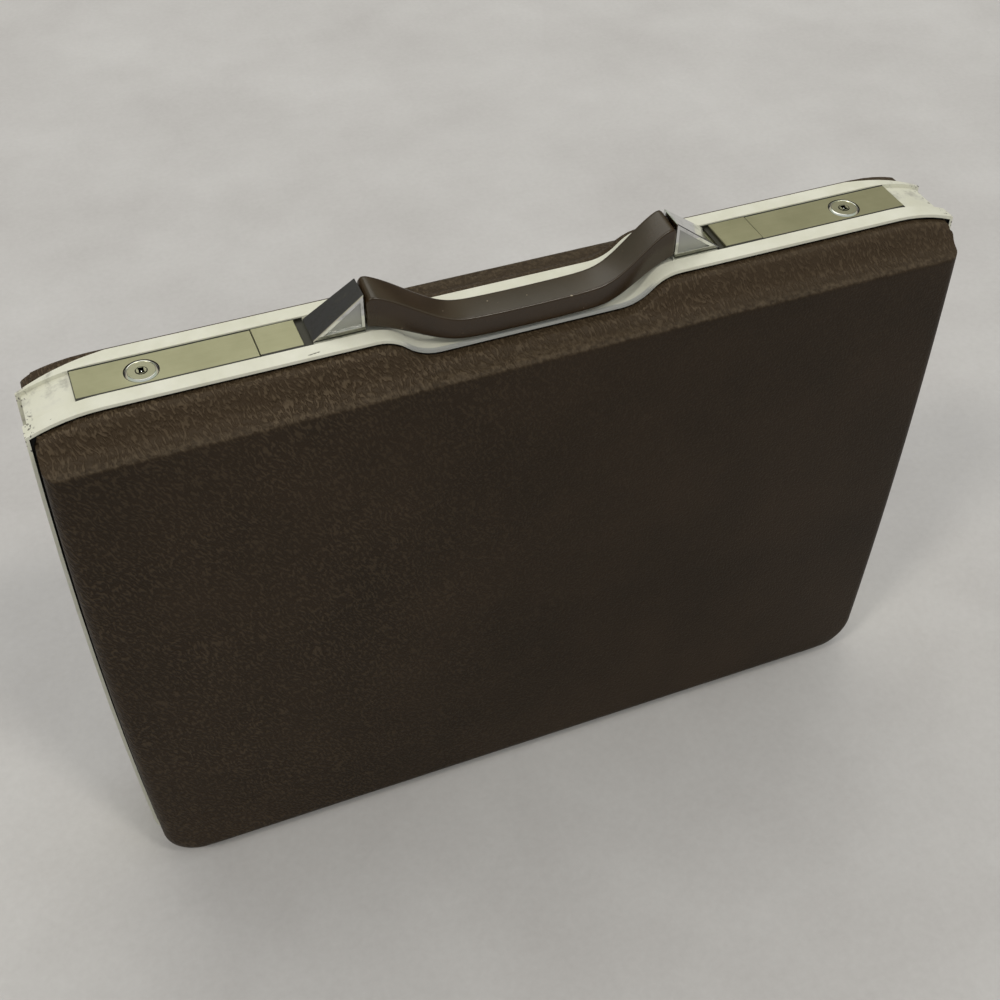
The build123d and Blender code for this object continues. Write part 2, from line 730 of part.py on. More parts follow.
both_sides("stay_lower", link(stay_x, base_post, elbow, running_fit))
both_sides("stay_upper", link(upper_x, elbow, lid_post, clear))
elbow_head = upper_x - stay_thick - slide_fit
both_sides("stay_elbow", rod("X", elbow, stay_pin_radius, elbow_head, stay_x)
           + rod("X", elbow, head_radius, stay_x, stay_x + stay_head)
           + rod("X", elbow, head_radius, elbow_head - stay_head, elbow_head))
frame_wall = side_x(base_post[1]) - channel_depth - floor_thick
tongue_wall = side_x(lid_post[1]) - tongue_inset - tongue_thick
for name, post_body in (("stay_posts_base", post(base_post, stay_x, frame_wall)),
                        ("stay_posts_lid", post(lid_post, upper_x, tongue_wall))):
    write(name, Compound(children=[post_body, mirror(post_body, Plane.YZ)]))


# Linings: a tray in each half, cut away for the lock cases and the stay posts
def lining(side):
    out = -1 if side == "lid" else 1
    y_rim = y_parting - clear if side == "lid" else y_parting + parting_gap + clear
    skin = shell_thick + lining_gap
    inset = lining_edge_gap - skin
    tray = pillow(side, skin, y_rim, inset) - pillow(side, skin + lining_thick, y_rim - out, inset)
    post_hole = rod("X", lid_post if side == "lid" else base_post, post_radius + clear, stay_x, half_width)
    case_room = block(case_in - clear, case_out + clear, case_front - clear, case_back + clear,
                      z_case - clear, case_height)
    for cutter in [post_hole] + ([case_room] if side == "base" else []):
        tray -= [cutter, mirror(cutter, Plane.YZ)]
    return tray


def lip_room(side):
    """Keeps a lining's top wall under the dip and the rounded-off corners of the frame."""
    y_a, y_b = (y_lid_face, y_parting) if side == "lid" else (y_parting, y_base_face)
    return slab(outline(lining_edge_gap - clear), y_a, y_b)


write("lid_lining", lining("lid") & lip_room("lid"))
write("base_lining", lining("base") & lip_room("base"))

# Document pocket on the lid's lining: a front board on a gusset that is open at the top
y_pocket_back = y_lid_face + shell_thick + lining_gap + lining_thick
y_pocket_board = y_pocket_back + pocket_depth - pocket_board
pocket_top = pocket_bottom + pocket_height
write("document_pocket", block(-pocket_width / 2, pocket_width / 2, y_pocket_board,
                               y_pocket_back + pocket_depth, pocket_bottom, pocket_top))
gusset = block(-pocket_width / 2, pocket_width / 2, y_pocket_back, y_pocket_board, pocket_bottom, pocket_top)
gusset -= block(pocket_board - pocket_width / 2, pocket_width / 2 - pocket_board, y_pocket_back - through,
                y_pocket_board + through, pocket_bottom + pocket_board, pocket_top + through)
write("pocket_gusset", gusset)
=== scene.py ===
from math import cos, hypot, pi, radians, sin, sqrt

import bmesh
import bpy
from mathutils import Matrix, Vector


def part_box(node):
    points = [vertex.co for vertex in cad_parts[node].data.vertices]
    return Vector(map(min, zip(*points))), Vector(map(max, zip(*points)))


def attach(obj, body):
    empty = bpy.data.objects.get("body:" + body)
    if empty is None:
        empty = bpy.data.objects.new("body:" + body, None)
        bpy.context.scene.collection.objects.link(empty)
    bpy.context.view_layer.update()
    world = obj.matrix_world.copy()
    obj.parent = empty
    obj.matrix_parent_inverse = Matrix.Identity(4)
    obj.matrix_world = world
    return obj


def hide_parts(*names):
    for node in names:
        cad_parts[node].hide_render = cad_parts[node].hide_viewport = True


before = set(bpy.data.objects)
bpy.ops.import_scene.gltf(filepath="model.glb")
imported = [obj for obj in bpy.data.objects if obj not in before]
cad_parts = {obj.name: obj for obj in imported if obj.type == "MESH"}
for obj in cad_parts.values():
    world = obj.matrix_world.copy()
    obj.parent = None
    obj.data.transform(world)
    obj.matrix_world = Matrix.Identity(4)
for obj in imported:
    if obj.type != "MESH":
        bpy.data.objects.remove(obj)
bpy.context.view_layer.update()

# Camera: it stands left of the case and looks down on its front.
camera_place = Vector((-0.2035, -0.4903, 0.703))
camera_yaw = radians(21.82)
camera_pitch = radians(44.63)
camera_roll = radians(0.32)

level = Vector((cos(camera_yaw), -sin(camera_yaw), 0))
ahead = Vector((sin(camera_yaw), cos(camera_yaw), 0))
looking = ahead * cos(camera_pitch) - Vector((0, 0, sin(camera_pitch)))
right = cos(camera_roll) * level + sin(camera_roll) * level.cross(looking)
camera = bpy.data.objects.new("camera", bpy.data.cameras.new("camera"))
camera.data.lens = 49.68
camera.data.sensor_width = 36
camera.data.clip_start = 0.01
camera.matrix_world = Matrix.Translation(camera_place) @ Matrix(
    (right, right.cross(looking), -looking)).transposed().to_4x4()
bpy.context.scene.collection.objects.link(camera)
bpy.context.scene.camera = camera
bpy.context.scene.view_settings.view_transform = "Standard"


# Studio: a pale floor in a plain room. Its walls are light above and dim towards the horizon.
# Two soft lamps in front of the case, left and right, throw a faint shadow to each side.
def colour(text, alpha=1.0):
    """An sRGB hex colour as the linear values that Blender takes."""
    values = []
    for i in (1, 3, 5):
        c = int(text[i:i + 2], 16) / 255
        values.append(c / 12.92 if c <= 0.04045 else ((c + 0.055) / 1.055) ** 2.4)
    return (*values, alpha)


def add(tree, kind, settings=None, links=None):
    """Adds a node and returns it. Settings are its inputs or attributes, links its linked inputs."""
    node = tree.nodes.new("ShaderNode" + kind)
    for key, value in (settings or {}).items():
        if isinstance(key, str) and hasattr(node, key):
            setattr(node, key, value)
    for key, value in (settings or {}).items():
        if isinstance(key, int) or not hasattr(node, key):
            node.inputs[key].default_value = value
    for key, socket in (links or {}).items():
        tree.links.new(socket, node.inputs[key])
    return node


def calc(tree, operation, *values):
    """A maths node. Each value is a number or a socket."""
    node = add(tree, "Math", {"operation": operation})
    for i, value in enumerate(values):
        if isinstance(value, (int, float)):
            node.inputs[i].default_value = value
        else:
            tree.links.new(value, node.inputs[i])
    return node.outputs[0]


def both(tree, *values):
    """The product of values from 0 to 1: 1 only where all of them are."""
    product = values[0]
    for value in values[1:]:
        product = calc(tree, "MULTIPLY", product, value)
    return product


def ramp(tree, factor, stops):
    """A colour ramp through (position, hex colour) stops."""
    node = add(tree, "ValToRGB", links={"Fac": factor})
    while len(node.color_ramp.elements) < len(stops):
        node.color_ramp.elements.new(1)
    for element, (place, tone) in zip(node.color_ramp.elements, stops):
        element.position = place
        element.color = colour(tone)
    return node.outputs["Color"]


def fade(tree, value, start, stop):
    """0 where the value is at start, 1 where it is at stop, and smooth between them."""
    node = add(tree, "MapRange", {"interpolation_type": "SMOOTHSTEP", 1: start, 2: stop}, {0: value})
    return node.outputs[0]


def mixed(tree, factor, first, second):
    """One colour over another. Each is a hex colour or a socket."""
    node = add(tree, "Mix", {"data_type": "RGBA"})
    for index, value in ((0, factor), (6, first), (7, second)):
        if isinstance(value, str):
            node.inputs[index].default_value = colour(value)
        elif isinstance(value, (int, float)):
            node.inputs[index].default_value = value
        else:
            tree.links.new(value, node.inputs[index])
    return node.outputs[2]


def noise(tree, place, scale, detail=3.0, roughness=0.5, stretch=(1, 1, 1)):
    """Noise by real size: scale is features per metre, stretch squeezes it along an axis."""
    where = add(tree, "Mapping", {"Scale": stretch}, {"Vector": place}).outputs[0]
    return add(tree, "TexNoise", {"Scale": scale, "Detail": detail, "Roughness": roughness},
               {"Vector": where}).outputs["Fac"]


def material(name, rough, metal=0.0):
    """A new material, its node tree, its shader and the object's own coordinates in metres."""
    made = bpy.data.materials.new(name)
    made.use_nodes = True
    shader = made.node_tree.nodes["Principled BSDF"]
    shader.inputs["Roughness"].default_value = rough
    shader.inputs["Metallic"].default_value = metal
    return made, made.node_tree, shader, add(made.node_tree, "TexCoord").outputs["Object"]


def relief(tree, shader, height, depth, strength=1.0):
    """Bump from a height of 0 to 1 that stands for a real depth in metres."""
    bump = add(tree, "Bump", {"Strength": strength, "Distance": depth}, {"Height": height})
    tree.links.new(bump.outputs[0], shader.inputs["Normal"])


def mesh_object(name, points, faces, materials, smooth=radians(35)):
    """A mesh, smooth apart from edges sharper than the angle."""
    mesh = bpy.data.meshes.new(name)
    mesh.from_pydata([tuple(p) for p in points], [], faces)
    for made in materials:
        mesh.materials.append(made)
    mesh.update()
    mesh.shade_smooth()
    mesh.set_sharp_from_angle(angle=smooth)
    piece = bpy.data.objects.new(name, mesh)
    bpy.context.scene.collection.objects.link(piece)
    return piece


room = bpy.data.worlds.new("room")
bpy.context.scene.world = room
room.use_nodes = True
sky = room.node_tree
sky.nodes.clear()
direction = add(sky, "TexCoord").outputs["Generated"]
height = add(sky, "SeparateXYZ", links={"Vector": direction}).outputs["Z"]
walls = ramp(sky, height, [(0.0, "#8f8d88"), (0.24, "#3a3938"), (0.38, "#4c4b48"), (0.44, "#b3ad9a"),
                           (0.60, "#c4bea8"), (0.63, "#b9c2ab"), (1.0, "#c9cec8")])
path = add(sky, "LightPath")
glow = add(sky, "Background", {"Strength": 1.0}, {"Color": walls})
fill = add(sky, "Background", {"Color": colour("#e6e8ea"), "Strength": 0.74})
chosen = add(sky, "MixShader", links={
    0: path.outputs["Is Glossy Ray"], 1: fill.outputs[0], 2: glow.outputs[0]})
add(sky, "OutputWorld", links={"Surface": chosen.outputs[0]})


def lamp(name, strength, angle, towards):
    """A distant lamp of that angular size; towards is the direction from the case to the lamp."""
    sun = bpy.data.objects.new(name, bpy.data.lights.new(name, "SUN"))
    sun.data.energy = strength
    sun.data.angle = radians(angle)
    sun.data.color = colour("#fffbf2")[:3]
    sun.matrix_world = Vector(towards).to_track_quat("Z", "Y").to_matrix().to_4x4()
    bpy.context.scene.collection.objects.link(sun)


lamp("lamp_left", 0.62, 9, (-0.57, -0.29, 0.77))
lamp("lamp_right", 0.62, 9, (0.27, -0.53, 0.80))
lamp("lamp_above", 0.5, 40, (0.1, 0.45, 0.9))


def sealed_floor():
    """Smooth sealed floor: pale grey with a faint mottle and fine specks."""
    made, tree, shader, place = material("sealed_floor", 0.8)
    mottle = noise(tree, place, 7.0, 6.0, 0.6)
    fine = noise(tree, place, 210.0, 5.0, 0.65)
    tone = calc(tree, "MULTIPLY_ADD", fine, 0.45, mottle)
    tree.links.new(ramp(tree, tone, [(0.45, "#b2afac"), (1.0, "#c3c1be")]), shader.inputs["Base Color"])
    return made


floor_reach = 6
floor_corners = [(floor_reach * x, floor_reach * y, 0) for x, y in ((-1, -1), (1, -1), (1, 1), (-1, 1))]
mesh_object("floor", floor_corners, [(0, 1, 2, 3)], [sealed_floor()])


def dress(node, *materials, choose=None, round_edges=0.0):
    """Gives a CAD node its materials; choose(centre, normal) picks one for each face."""
    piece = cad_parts[node]
    piece.data.materials.clear()
    for made in materials:
        piece.data.materials.append(made)
    for face in piece.data.polygons:
        face.material_index = choose(face.center, face.normal) if choose else 0
    piece.data.shade_smooth()
    piece.data.set_sharp_from_angle(angle=radians(30))
    if round_edges:
        bevel = piece.modifiers.new("worn_edges", "BEVEL")
        bevel.width = round_edges
        bevel.segments = 2
        bevel.limit_method = "ANGLE"
        bevel.angle_limit = radians(40)
        bevel.use_clamp_overlap = True


# Shells: the two halves of the case, moulded in ABS with a leather grain. The front one is shallower.
# A sloped band with drawn wrinkles runs under each lip, over a bead and a valley, to a crease.
# Sizes in metres. The cut is the slanting plane that takes the base lip's rear top corners off.
half_width = 0.2304
lip_height = 0.3242
bow_radius, widest_height = 3.4, 0.220
shell_gap = 0.003
shell_wall = 0.0015
sole_height = 0.0024 + shell_gap
corner_round = 0.026 - shell_gap
flat_half = half_width - 0.0354
top_round = 0.085
dip_half, dip_ramp, dip_depth = 0.045, 0.030, 0.0124
crease_height = lip_height - 0.019
crease_drop = 0.016
nose_out, nose_up = 0.002, 0.0026
rim_depth = 0.0016
cut_start = half_width - 0.0424
cut_top, cut_depth, cut_foot, cut_drop = 0.0169, 0.007, 0.0096, 0.0714937


def grained_abs():
    """Grained ABS: pebbles 1.2 mm apart and drawn wrinkles 1 mm apart, deepest on the sloped band.

    The sloped band is painted lighter as if lit from above, the wrinkle tips carry painted highlights, and the
    crease has a painted highlight line a little lighter.
    """
    made, tree, shader, place = material("grained_abs", 0.52)
    shader.inputs["Specular IOR Level"].default_value = 0.16
    split = add(tree, "SeparateXYZ", links={"Vector": place}).outputs
    band = fade(tree, split["Z"], crease_height - 0.0027, crease_height + 0.0033)
    warp = add(tree, "TexNoise", {"Scale": 60.0, "Detail": 2.0}, {"Vector": place}).outputs["Color"]
    drift = add(tree, "VectorMath", {"operation": "MULTIPLY_ADD", 1: (0.006, 0.006, 0.006)},
                {0: warp, 2: place}).outputs[0]
    turned_place = add(tree, "Mapping", {"Rotation": (0, 0.45, 0)}, {"Vector": drift}).outputs[0]
    wrinkle = noise(tree, turned_place, 950.0, 1.5, 0.45, (1.0, 0.36, 0.36))
    pebble = add(tree, "TexVoronoi", {"feature": "SMOOTH_F1", "Scale": 830.0, "Smoothness": 0.4},
                 {"Vector": drift}).outputs["Distance"]
    patch = fade(tree, noise(tree, place, 18.0, 3.0, 0.5), 0.35, 0.65)
    left_side = fade(tree, split["X"], 0.08, -0.2)
    drawn = calc(tree, "MULTIPLY_ADD", band, 0.7, calc(tree, "MULTIPLY", left_side, 0.5))
    drawn = calc(tree, "MULTIPLY", drawn, calc(tree, "MULTIPLY_ADD", patch, 0.4, 0.6))
    folds = fade(tree, wrinkle, 0.36, 0.64)
    pebbled = calc(tree, "MULTIPLY", pebble, -0.4)
    grain = calc(tree, "MULTIPLY_ADD", folds, calc(tree, "ADD", drawn, 0.1), pebbled)
    cloud = noise(tree, place, 12.0, 5.0, 0.6)
    base = ramp(tree, cloud, [(0.3, "#231a0f"), (0.7, "#2e2317")])
    # Painted light: the sloped band is painted a lighter brown, as if lit from above.
    base = mixed(tree, calc(tree, "MULTIPLY", band, 0.65), base, "#463929")
    # Painted highlights: the tips of the drawn wrinkles are painted lighter, most on the band and the left
    # side.
    tip_highlight_share = calc(tree, "MULTIPLY_ADD", drawn, 0.5, 0.05)
    painted_tip_highlight = calc(tree, "MULTIPLY", fade(tree, wrinkle, 0.48, 0.66), tip_highlight_share)
    base = mixed(tree, painted_tip_highlight, base, "#615340")
    # Painted highlight: a lighter line along the crease, broken up by noise.
    lightening = both(tree, fade(tree, split["Z"], crease_height - 0.0022, crease_height - 0.0007),
                fade(tree, split["Z"], crease_height + 0.0012, crease_height),
                fade(tree, noise(tree, place, 420.0, 3.0), 0.3, 0.75), 0.35)
    base = mixed(tree, lightening, base, "#6b5d49")
    tree.links.new(base, shader.inputs["Base Color"])
    relief(tree, shader, grain, 0.0006, 0.8)
    return made


def side_x(z):
    """Half width of the frame, where its side bows."""
    return half_width - bow_radius + sqrt(bow_radius ** 2 - (z - widest_height) ** 2)


def lip_z(x):
    """Height of the lips: a dip for the fingers, a flat and a rounded-off corner."""
    x = min(abs(x), half_width)
    ramp_round = (dip_ramp ** 2 + dip_depth ** 2) / (4 * dip_depth)
    if x <= dip_half:
        return lip_height - dip_depth
    if x <= dip_half + dip_ramp / 2:
        return lip_height - dip_depth + ramp_round - sqrt(ramp_round ** 2 - (x - dip_half) ** 2)
    if x <= dip_half + dip_ramp:
        return lip_height - ramp_round + sqrt(ramp_round ** 2 - (dip_half + dip_ramp - x) ** 2)
    if x <= flat_half:
        return lip_height
    return lip_height - top_round + sqrt(top_round ** 2 - (x - flat_half) ** 2)


def shell_half_width(z, shoulder=0.002):
    """Half width of a shell, with its rounded bottom corner and top corner."""
    side = side_x(z) - shell_gap
    low = sole_height + corner_round - z
    high = z - (lip_z(half_width) - shell_gap - shoulder)
    if high > 0:
        return side - shoulder + sqrt(max(shoulder ** 2 - high ** 2, 0))
    if low <= 0:
        return side
    return side - corner_round + sqrt(max(corner_round ** 2 - low ** 2, 0))


def edge_distance(x, z):
    """Distance from a point of the front view to the shell's side or bottom."""
    across = shell_half_width(sole_height + corner_round) - corner_round
    low = sole_height + corner_round - z
    if low > 0 and abs(x) > across:
        return corner_round - hypot(abs(x) - across, low)
    return min(side_x(z) - shell_gap - abs(x), z - sole_height)


def band_point(x, share, depth, reach):
    """Depth and height on the sloped band; share runs from the foot at the crease, 0, to the brow, 1."""
    rise = (lip_z(x) - shell_gap - crease_height) / crease_drop
    stops = [(0.0, 0.0, 0.1), (0.0044 * reach, 0.0009, 1.0), (0.0064 * reach, 0.0062, 3.3),
             (depth - 0.002, crease_drop, 0.75)]
    out = (1 - share) * stops[-1][0]
    for (a, fall_a, slope_a), (b, fall_b, slope_b) in zip(stops, stops[1:]):
        if out <= b:
            break
    t = (out - a) / (b - a)
    run = (b - a) / reach
    fall = ((1 + 2 * t) * (1 - t) ** 2 * fall_a + t * (1 - t) ** 2 * run * slope_a
            + t * t * (3 - 2 * t) * fall_b + t * t * (t - 1) * run * slope_b)
    return out, crease_height + rise * (crease_drop - fall)


def shell_columns(edge_round):
    """The columns: by distance from each rounded side, and by share of the width between them."""
    near = [edge_round * (1 - cos(pi / 2 * i / 8)) for i in range(9)] + [0.018, 0.026, 0.034]
    between = [1 - i / 60 for i in range(1, 120)]
    columns = [("edge", 1, distance) for distance in near] + [("inner", 1, share) for share in between]
    return columns + [("edge", -1, distance) for distance in reversed(near)]


def shell_rows(edge_round):
    """The rows: up the face by height, round the nose at the crease and up the band by share."""
    heights = [sole_height + edge_round * (1 - cos(pi / 2 * i / 8)) for i in range(9)]
    corner_steps = [corner_round * i / 10 for i in range(3, 11)]
    heights += [sole_height + step for step in corner_steps if step > edge_round]
    heights += [0.03 + (crease_height - 0.0335) * i / 24 for i in range(25)]
    rows = [("face", height) for height in heights] + [("nose", i / 4) for i in range(1, 4)]
    return rows + [("band", i / 28) for i in range(29)] + [("top", 1.0)]


def shell_point(row, column, depth, edge_round, reach, shoulder):
    """A point of the skin: its X, how far it stands out from the lip, and its height."""
    kind, value = row
    place, way, amount = column
    z = value if kind == "face" else crease_height
    for _ in range(3):
        limit = shell_half_width(z, shoulder)
        inner = limit - 0.034
        x = way * max(limit - amount, 0) if place == "edge" else amount * inner
        if kind == "face":
            out = depth
        elif kind == "nose":
            out = depth - nose_out * (1 - sqrt(1 - value * value))
            z = crease_height - nose_up * (1 - value)
        else:
            out, z = band_point(x, value, depth, reach)
    if kind == "top":
        return x, -rim_depth, z
    near = edge_distance(x, z)
    if near < edge_round:
        out = min(out, depth - edge_round + sqrt(max(edge_round ** 2 - (edge_round - near) ** 2, 0)))
    return x, out, z


def grid_faces(rows, wide):
    """Four-sided faces over rows of points, each row that many points wide."""
    return [(j * wide + i, j * wide + i + 1, (j + 1) * wide + i + 1, (j + 1) * wide + i)
            for j in range(rows - 1) for i in range(wide - 1)]


def shell_mesh(side, out_sign, y_lip, depth, edge_round, reach, shoulder):
    """One shell's skin: rows from the bottom edge to the lip, and a rim that goes in behind the lip."""
    columns = shell_columns(edge_round)
    rows = shell_rows(edge_round)
    points = []
    for row in rows:
        for column in columns:
            x, out, z = shell_point(row, column, depth, edge_round, reach, shoulder)
            points.append(Vector((x, y_lip + out_sign * out, z)))
    wide = len(columns)
    faces = grid_faces(len(rows), wide)
    rim = [j * wide for j in range(len(rows) - 1, 0, -1)] + list(range(wide))
    rim += [j * wide + wide - 1 for j in range(1, len(rows))]
    start = len(points)
    for i in rim:
        x, _, z = points[i]
        y = y_lip - out_sign * rim_depth
        if side == "base":
            cut = cut_top - cut_depth * ((abs(x) - cut_start) / (half_width - cut_start)
                                         + (z - lip_height) / cut_drop)
            y = max(min(y, cut), cut_foot)
        points.append(Vector((x, y, z)))
    faces += [(rim[i + 1], rim[i], start + i, start + i + 1) for i in range(len(rim) - 1)]
    piece = mesh_object(side + "_shell_skin", points, faces, [shell_skin], radians(40))
    welded = bmesh.new()
    welded.from_mesh(piece.data)
    bmesh.ops.remove_doubles(welded, verts=welded.verts, dist=0.00001)
    bmesh.ops.recalc_face_normals(welded, faces=welded.faces)
    welded.to_mesh(piece.data)
    welded.free()
    wall = piece.modifiers.new("wall", "SOLIDIFY")
    wall.thickness = shell_wall
    wall.offset = -1
    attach(piece, side)
    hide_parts(side + "_shell")


shell_skin = grained_abs()
y_lid_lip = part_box("lid_frame")[0].y
y_base_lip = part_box("base_frame")[1].y
lid_depth = y_lid_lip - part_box("lid_shell")[0].y
base_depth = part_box("base_shell")[1].y - y_base_lip
shell_mesh("lid", -1, y_lid_lip, lid_depth, 0.0065, 1.0, 0.002)
shell_mesh("base", 1, y_base_lip, base_depth, 0.012, base_depth / lid_depth, 0.005)


# Frame: two cream-painted metal lips round the case, with the channel between them.
# The paint is chipped along the edges, and grime has gathered in the ends of the channel.
def paint_wear(tree, place, split, along, tone):
    """Adds fine specks, chips at the ends of the lips, one scratch and a grey tint on the front lip's face in
    the dip.
    """
    specks = both(tree, fade(tree, noise(tree, place, 900.0, 2.0, 0.4, (0.35, 1, 1)), 0.76, 0.79),
                  fade(tree, noise(tree, place, 45.0, 3.0, 0.5), 0.55, 0.62))
    tone = mixed(tree, specks, tone, "#4a4338")

    end_x, end_z = 0.2235, 0.306
    chips = both(tree, fade(tree, noise(tree, place, 600.0, 2.0, 0.5), 0.60, 0.63),
                 fade(tree, along, end_x, end_x + 0.002), fade(tree, split["Z"], end_z, end_z + 0.004))
    tone = mixed(tree, chips, tone, "#6b6860")

    scratch_x, scratch_y, slope, scratch_half = -0.1031, -0.01973, 0.14, 0.0028
    run = calc(tree, "SUBTRACT", split["X"], scratch_x)
    beside = calc(tree, "SUBTRACT", split["Y"], calc(tree, "MULTIPLY_ADD", run, slope, scratch_y))
    scratch = both(tree, fade(tree, calc(tree, "ABSOLUTE", beside), 0.0004, 0.0002),
                   fade(tree, calc(tree, "ABSOLUTE", run), scratch_half + 0.0002, scratch_half - 0.0002),
                   fade(tree, noise(tree, place, 1500.0, 2.0, 0.5), 0.38, 0.46))
    tone = mixed(tree, scratch, tone, "#332f28")

    # A grey tint on the front lip's face in the dip.
    dip = both(tree, fade(tree, split["Z"], lip_height - 0.003, lip_height - 0.008),
               fade(tree, along, 0.085, 0.070),
               fade(tree, split["Y"], y_lid_lip + 0.0022, y_lid_lip + 0.0010), 0.8)
    return mixed(tree, dip, tone, "#9fa19f")


def channel_dirt_and_shade(tree, place, split, along, tone):
    """Adds grime at the channel's ends, and painted shade in the gap under the rear lip beside the plates."""
    row_start, row_end, lip_inside = 0.1008, 0.2054, 0.0090
    grime = both(tree, fade(tree, noise(tree, place, 120.0, 6.0, 0.65), 0.44, 0.7),
                 fade(tree, along, row_end - 0.0006, row_end + 0.0021),
                 fade(tree, split["Y"], -0.012, 0.006), 0.7)
    tone = mixed(tree, grime, tone, "#7d7a70")
    # Painted shade: a dark line on the rear lip's inner wall beside the plates, where the gap lies in shade.
    lip_gap_shade = both(tree, fade(tree, split["Y"], lip_inside + 0.0005, lip_inside),
               fade(tree, split["Z"], lip_height - 0.0006, lip_height - 0.0009),
               fade(tree, split["Z"], lip_height - 0.0034, lip_height - 0.0030),
               fade(tree, along, row_start - 0.0002, row_start + 0.0002),
               fade(tree, along, row_end + 0.0002, row_end - 0.0002))
    return mixed(tree, lip_gap_shade, tone, "#26241b")


def cream_paint(name, channel):
    """Satin cream paint with its wear. On the base frame it also has the channel's dirt and painted shade."""
    made, tree, shader, place = material(name, 0.38)
    split = add(tree, "SeparateXYZ", links={"Vector": place}).outputs
    along = calc(tree, "ABSOLUTE", split["X"])
    tone = ramp(tree, noise(tree, place, 60.0, 5.0, 0.6), [(0.3, "#cfceba"), (0.7, "#dbdaca")])
    tone = paint_wear(tree, place, split, along, tone)
    if channel:
        tone = channel_dirt_and_shade(tree, place, split, along, tone)
    tree.links.new(tone, shader.inputs["Base Color"])
    relief(tree, shader, noise(tree, place, 350.0, 4.0), 0.00005, 0.5)
    return made


def gap_shade_material():
    """Near-black painted shade for the gap between a lip and its shell, and for the keyhole wells and the
    walls round the lock rims.
    """
    made, tree, shader, place = material("painted_shade_black", 0.9)
    shader.inputs["Base Color"].default_value = colour("#0c0b0a")
    return made


def hidden_side(centre, normal):
    """1 for the frame's faces that look inwards or towards a shell behind the lip, else 0."""
    middle_height = 0.17
    outward = Vector((centre.x, 0, 3 * (centre.z - middle_height)))
    behind_front = y_lid_lip + 0.0002 < centre.y < y_lid_lip + 0.005
    behind_rear = y_base_lip - 0.0060 < centre.y < y_base_lip - 0.0002
    return int(normal.dot(outward) < -0.01 or (abs(normal.y) > 0.9 and (behind_front or behind_rear)))


# The frame's faces that look inwards or hide behind a lip get the near-black painted shade.
gap_shade_black = gap_shade_material()
dress("lid_frame", cream_paint("cream_paint_lid", False), gap_shade_black, choose=hidden_side, round_edges=0.0003)
dress("base_frame", cream_paint("cream_paint_base", True), gap_shade_black, choose=hidden_side, round_edges=0.0003)


# Lock plates and latch buttons: anodised aluminium in the channel, champagne with an olive cast.
# The buttons are sheets of the same metal that slide towards the handle.
def anodised(name):
    """Anodised aluminium, faintly brushed along the case. Painted shade darkens its edges and rings the lock
    faces.
    """
    made, tree, shader, place = material(name, 0.3, 1.0)
    split = add(tree, "SeparateXYZ", links={"Vector": place}).outputs
    brushed = noise(tree, place, 1500.0, 3.0, 0.6, (0.02, 1, 1))
    lightening = noise(tree, place, 50.0, 4.0, 0.6)
    tone = ramp(tree, calc(tree, "MULTIPLY_ADD", brushed, 0.3, lightening), [(0.4, "#a9a78d"), (0.9, "#b9b79d")])
    from_lock = calc(tree, "SUBTRACT", calc(tree, "ABSOLUTE", split["X"]), lock_x)
    sideways = calc(tree, "SUBTRACT", split["Y"], lock_y)
    distance = calc(tree, "SQRT", calc(tree, "ADD", calc(tree, "POWER", from_lock, 2.0),
                                       calc(tree, "POWER", sideways, 2.0)))
    # Painted shade: dark, less metallic lines along the plate's front and rear edges, and a ring round each
    # lock face.
    edge = calc(tree, "MAXIMUM", fade(tree, split["Y"], plate_low.y + 0.0018, plate_low.y + 0.0014),
                fade(tree, split["Y"], plate_high.y - 0.0006, plate_high.y - 0.0003))
    plate_gap_shade = calc(tree, "MAXIMUM", edge, fade(tree, distance, lock_round + 0.0005, lock_round + 0.0003))
    tree.links.new(mixed(tree, plate_gap_shade, tone, "#1f1d17"), shader.inputs["Base Color"])
    tree.links.new(calc(tree, "SUBTRACT", 1.0, plate_gap_shade), shader.inputs["Metallic"])
    relief(tree, shader, brushed, 0.00002, 0.4)
    return made


plate_low, plate_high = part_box("lock_plate_right")
lock_low, lock_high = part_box("lock_face_right")
lock_x = (lock_low.x + lock_high.x) / 2
lock_y = (lock_low.y + lock_high.y) / 2
lock_round = (lock_high.x - lock_low.x) / 2
plate_metal = anodised("anodised_aluminium")
for side in ("left", "right"):
    dress("lock_plate_" + side, plate_metal)
    dress("latch_button_" + side, plate_metal, round_edges=0.00015)


# Locks: a nickel-plated face with a raised round rim, and a key plug with a double-ended keyhole
# round a centre pin. The plug turns with the key.
def plated(name, tone, rough, grain=0.0):
    """Plated steel of that tone, polished or brushed."""
    made, tree, shader, place = material(name, rough, 1.0)
    shader.inputs["Base Color"].default_value = colour(tone)
    if grain:
        streaks = noise(tree, place, 900.0, 4.0, 0.6, (0.15, 1, 1))
        relief(tree, shader, streaks, grain, 0.5)
    return made


nickel = plated("satin_nickel", "#b0af9b", 0.3, 0.00002)
chrome = plated("polished_chrome", "#dddddb", 0.07)
brushed_chrome = plated("brushed_chrome", "#a9aaa9", 0.38, 0.00004)


def rings_to_faces(count, around):
    """Faces between closed rings of points, and a flat face on each end."""
    faces = []
    for ring in range(count - 1):
        low, high = ring * around, (ring + 1) * around
        for i in range(around):
            j = (i + 1) % around
            faces.append((low + i, low + j, high + j, high + i))
    faces.append(tuple(range(around - 1, -1, -1)))
    faces.append(tuple(range((count - 1) * around, count * around)))
    return faces


def turned(name, centre, profile, materials, choose=None, around=64):
    """A turned piece on an upright axis; the profile is (radius, height) from the rim inwards."""
    points = [(centre.x + r * cos(2 * pi * i / around), centre.y + r * sin(2 * pi * i / around), centre.z + h)
              for r, h in profile for i in range(around)]
    piece = mesh_object(name, points, rings_to_faces(len(profile), around), materials, radians(28))
    if choose:
        for face in piece.data.polygons:
            face.material_index = choose(Vector(face.center) - centre)
    return piece


